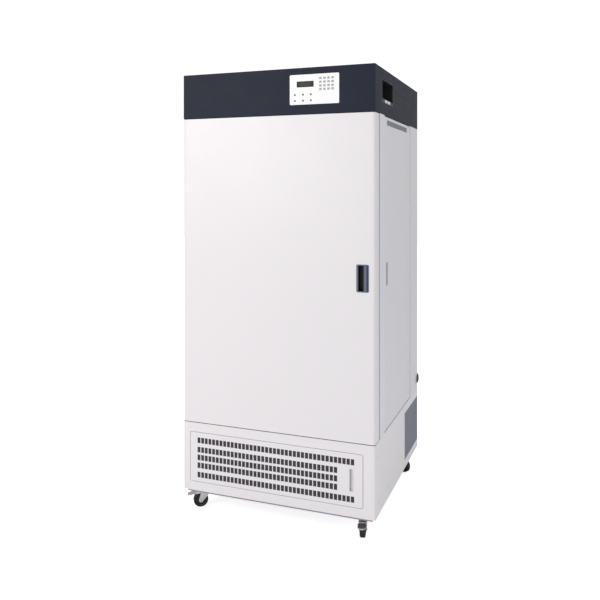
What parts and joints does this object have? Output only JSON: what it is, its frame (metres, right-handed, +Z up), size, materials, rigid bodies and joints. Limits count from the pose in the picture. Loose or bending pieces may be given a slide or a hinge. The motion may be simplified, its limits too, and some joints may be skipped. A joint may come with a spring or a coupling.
{
  "type": "plant growth chamber",
  "caption": "Upright plant growth chamber on casters: insulated cabinet, hinged front door, side lamp doors, dark control hood and a grille over the cooling unit.",
  "frame": {"origin": "on the floor under the middle of the cabinet", "axes": "+Z up, front door towards -Y, +X to the right as seen from the front"},
  "size_m": [0.8634, 0.865, 1.88],
  "materials": {
    "white_paint": "satin powder coat",
    "pale_grey_paint": "satin powder coat",
    "grey_paint": "matte powder coat",
    "dark_paint": "satin textured coat",
    "panel_plate": "semi-gloss overlay",
    "display_black": "gloss window",
    "key_grey": "matte membrane",
    "lamp_red": "gloss dome",
    "board_green": "matte",
    "black_plastic": "matte moulded",
    "rocker_plastic": "semi-gloss",
    "white_plastic": "satin moulded",
    "black_rubber": "matte",
    "gasket_rubber": "matte",
    "zinc_steel": "bright zinc plated",
    "slate_plastic": "satin moulded",
    "reflector_paint": "gloss white",
    "lamp_glass": "frosted",
    "window_glass": "clear",
    "stainless": "brushed",
    "fin_aluminium": "mill",
    "black_enamel": "gloss enamel",
    "copper": "bare copper",
    "filter_pad": "open pad",
    "tyre_black": "matte"
  },
  "bodies": {
    "cabinet": {"base_frame": "grey_paint", "base_housing": "white_paint", "base_rear_panel": "white_paint", "power_inlet": "black_plastic", "compressor": "black_enamel", "condenser": "fin_aluminium", "condenser_fan_shroud": "zinc_steel", "refrigerant_lines": "copper", "front_frame": "white_paint", "rear_wall": "pale_grey_paint", "cabinet_floor": "pale_grey_paint", "cabinet_roof": "pale_grey_paint", "liner": "stainless", "lamp_window_right": "window_glass", "lamp_window_left": "window_glass", "shelf_posts": "stainless", "shelf_lower": "stainless", "shelf_middle": "stainless", "shelf_upper": "stainless", "plenum_panel": "stainless", "evaporator": "fin_aluminium", "heater": "stainless", "fan_motor": "zinc_steel", "port_sleeve": "white_plastic", "hood_shell": "dark_paint", "control_panel": "panel_plate", "display_lens": "display_black", "keypad": "key_grey", "indicator_lamps": "lamp_red", "circuit_board": "board_green", "switch_niche": "black_plastic"},
    "front_door": {"door_shell": "white_paint", "door_inner_panel": "white_plastic", "door_gasket": "gasket_rubber", "hinge_pins": "zinc_steel", "handle_bezel": "slate_plastic"},
    "door_lever": {"handle_lever": "slate_plastic"},
    "right_lamp_door": {"lamp_door_right": "pale_grey_paint", "lamp_tray_right": "reflector_paint", "lamp_tubes_right": "lamp_glass"},
    "left_lamp_door": {"lamp_door_left": "pale_grey_paint", "lamp_tray_left": "reflector_paint", "lamp_tubes_left": "lamp_glass"},
    "front_grille": {"grille_door": "white_paint", "dust_filter": "filter_pad"},
    "condenser_fan": {"condenser_fan_rotor": "fin_aluminium"},
    "circulation_fan": {"fan_rotor": "fin_aluminium"},
    "mains_switch": {"mains_rocker": "rocker_plastic"},
    "lamp_switch": {"lamp_rocker": "rocker_plastic"},
    "side_port_plug": {"port_plug": "black_rubber"},
    "caster_front_left": {"caster_fork_front_left": "zinc_steel"},
    "wheel_front_left": {"caster_wheel_front_left": "tyre_black"},
    "caster_front_right": {"caster_fork_front_right": "zinc_steel"},
    "wheel_front_right": {"caster_wheel_front_right": "tyre_black"},
    "caster_rear_left": {"caster_fork_rear_left": "zinc_steel"},
    "wheel_rear_left": {"caster_wheel_rear_left": "tyre_black"},
    "caster_rear_right": {"caster_fork_rear_right": "zinc_steel"},
    "wheel_rear_right": {"caster_wheel_rear_right": "tyre_black"},
    "pedal_front_left": {"brake_pedal_front_left": "zinc_steel"},
    "pedal_front_right": {"brake_pedal_front_right": "zinc_steel"}
  },
  "joints": [
    {"name": "front_door_hinge", "type": "hinge", "parent": "cabinet", "child": "front_door", "pos_m": [-0.41, -0.385, 1.041], "axis": [0, 0, -1], "range_deg": [0, 110]},
    {"name": "handle_lever_hinge", "type": "hinge", "parent": "front_door", "child": "door_lever", "pos_m": [0.3922, -0.419, 1.0395], "axis": [0, 0, 1], "range_deg": [0, 20], "stiffness_Nm_per_rad": 0.6},
    {"name": "right_lamp_door_hinge", "type": "hinge", "parent": "cabinet", "child": "right_lamp_door", "pos_m": [0.418, 0.245, 1.041], "axis": [0, 0, 1], "range_deg": [0, 95]},
    {"name": "left_lamp_door_hinge", "type": "hinge", "parent": "cabinet", "child": "left_lamp_door", "pos_m": [-0.418, 0.245, 1.041], "axis": [0, 0, -1], "range_deg": [0, 95]},
    {"name": "front_grille_hinge", "type": "hinge", "parent": "cabinet", "child": "front_grille", "pos_m": [-0.384, -0.421, 0.2435], "axis": [0, 0, -1], "range_deg": [0, 95]},
    {"name": "condenser_fan_spin", "type": "hinge", "parent": "cabinet", "child": "condenser_fan", "pos_m": [-0.09, -0.28, 0.216], "axis": [0, 1, 0], "continuous": true},
    {"name": "circulation_fan_spin", "type": "hinge", "parent": "cabinet", "child": "circulation_fan", "pos_m": [0, 0.285, 1.47], "axis": [0, 1, 0], "continuous": true},
    {"name": "mains_rocker_tilt", "type": "hinge", "parent": "cabinet", "child": "mains_switch", "pos_m": [0.42, -0.2465, 1.7505], "axis": [0, 0, 1], "range_deg": [0, 16]},
    {"name": "lamp_rocker_tilt", "type": "hinge", "parent": "cabinet", "child": "lamp_switch", "pos_m": [0.42, -0.1965, 1.7505], "axis": [0, 0, 1], "range_deg": [0, 16]},
    {"name": "port_plug_slide", "type": "slide", "parent": "cabinet", "child": "side_port_plug", "axis": [1, 0, 0], "range_m": [0, 0.04]},
    {"name": "caster_swivel_front_left", "type": "hinge", "parent": "cabinet", "child": "caster_front_left", "pos_m": [-0.355, -0.34, 0.076], "axis": [0, 0, 1], "continuous": true},
    {"name": "wheel_spin_front_left", "type": "hinge", "parent": "caster_front_left", "child": "wheel_front_left", "pos_m": [-0.37794, -0.35606, 0.032], "axis": [0.5736, -0.8192, 0], "continuous": true},
    {"name": "caster_swivel_front_right", "type": "hinge", "parent": "cabinet", "child": "caster_front_right", "pos_m": [0.355, -0.34, 0.076], "axis": [0, 0, 1], "continuous": true},
    {"name": "wheel_spin_front_right", "type": "hinge", "parent": "caster_front_right", "child": "wheel_front_right", "pos_m": [0.35986, -0.36757, 0.032], "axis": [0.9848, 0.1736, 0], "continuous": true},
    {"name": "caster_swivel_rear_left", "type": "hinge", "parent": "cabinet", "child": "caster_rear_left", "pos_m": [-0.355, 0.34, 0.076], "axis": [0, 0, 1], "continuous": true},
    {"name": "wheel_spin_rear_left", "type": "hinge", "parent": "caster_rear_left", "child": "wheel_rear_left", "pos_m": [-0.38131, 0.33042, 0.032], "axis": [0.342, -0.9397, 0], "continuous": true},
    {"name": "caster_swivel_rear_right", "type": "hinge", "parent": "cabinet", "child": "caster_rear_right", "pos_m": [0.355, 0.34, 0.076], "axis": [0, 0, 1], "continuous": true},
    {"name": "wheel_spin_rear_right", "type": "hinge", "parent": "caster_rear_right", "child": "wheel_rear_right", "pos_m": [0.37925, 0.326, 0.032], "axis": [0.5, 0.866, 0], "continuous": true},
    {"name": "brake_pedal_front_left_press", "type": "hinge", "parent": "caster_front_left", "child": "pedal_front_left", "pos_m": [-0.39268, -0.36639, 0.0657], "axis": [0.5736, -0.8192, 0], "range_deg": [0, 14]},
    {"name": "brake_pedal_front_right_press", "type": "hinge", "parent": "caster_front_right", "child": "pedal_front_right", "pos_m": [0.36299, -0.3853, 0.0657], "axis": [0.9848, 0.1736, 0], "range_deg": [0, 14]}
  ]
}
